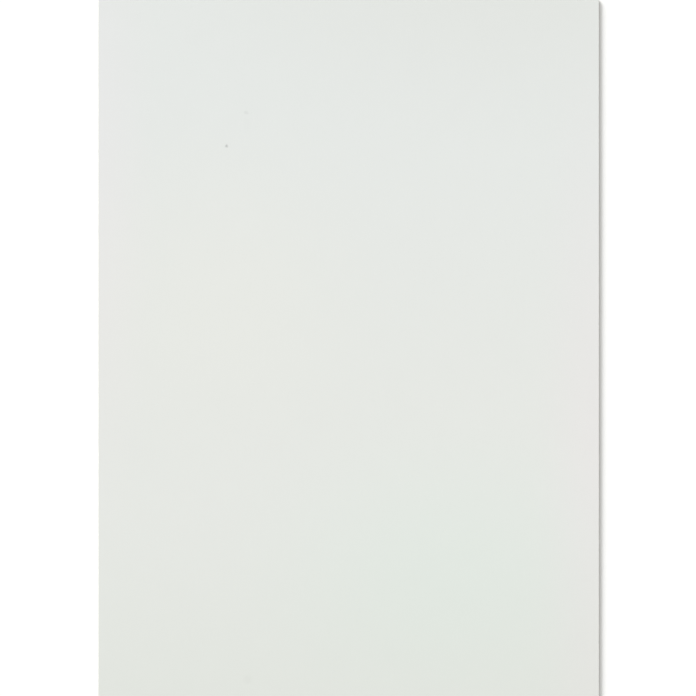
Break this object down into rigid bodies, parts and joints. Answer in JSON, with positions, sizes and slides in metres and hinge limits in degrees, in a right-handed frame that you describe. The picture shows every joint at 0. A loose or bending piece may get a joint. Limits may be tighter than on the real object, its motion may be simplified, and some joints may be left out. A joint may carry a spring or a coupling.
{
  "type": "building board",
  "caption": "Flat rectangular mineral building board with a smooth off-white front face, a sanded back face and square edges with lightly broken arrises.",
  "frame": {"origin": "middle of the back face, on the level surface that the board lies on", "axes": "+Z from the sanded back face to the smooth front face; +Y along the length, towards the short edge that the picture shows; +X across the width, to the picture's right"},
  "size_m": [1.2, 2.4, 0.009],
  "materials": {
    "board": "matte"
  },
  "bodies": {
    "root": {"board": "board"}
  },
  "joints": []
}
